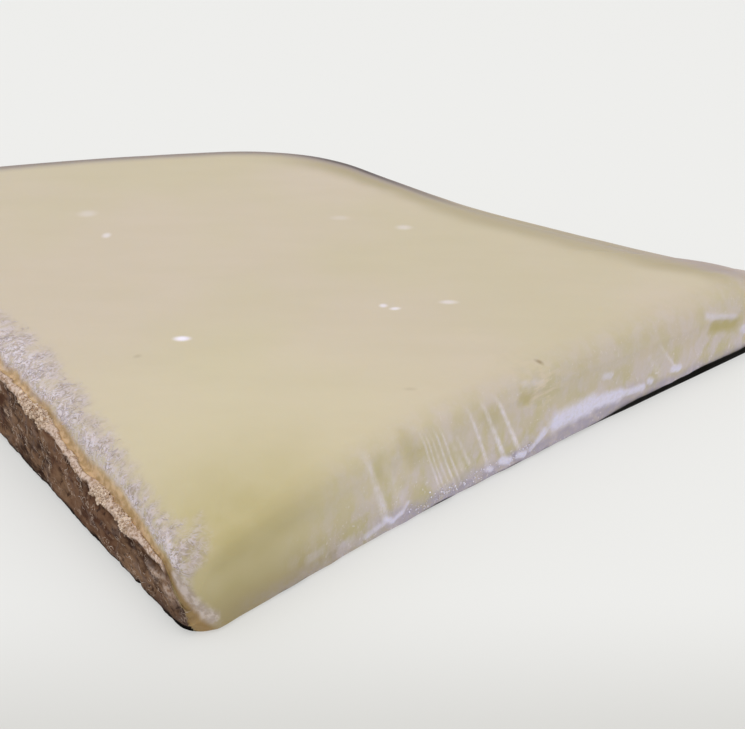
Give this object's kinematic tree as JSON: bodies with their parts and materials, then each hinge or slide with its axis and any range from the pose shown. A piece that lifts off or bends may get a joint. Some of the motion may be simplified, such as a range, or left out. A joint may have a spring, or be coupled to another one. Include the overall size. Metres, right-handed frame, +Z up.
{
  "type": "gruyere cheese",
  "caption": "Flat slab of hard cheese lying on its broad face, pale paste with soft cut edges and a brown crumbly rind along one side.",
  "frame": {"origin": "centre of the bounding box's underside, on the surface the slab lies on", "axes": "+Z up through the slab's thickness, +Y back along the rind side, which is the longest extent, +X along the front cut side, away from the rind"},
  "size_m": [0.122, 0.1426, 0.0173],
  "materials": {
    "cheese": "soft satin cheese paste"
  },
  "bodies": {
    "root": {"cheese_slab": "cheese"}
  },
  "joints": []
}
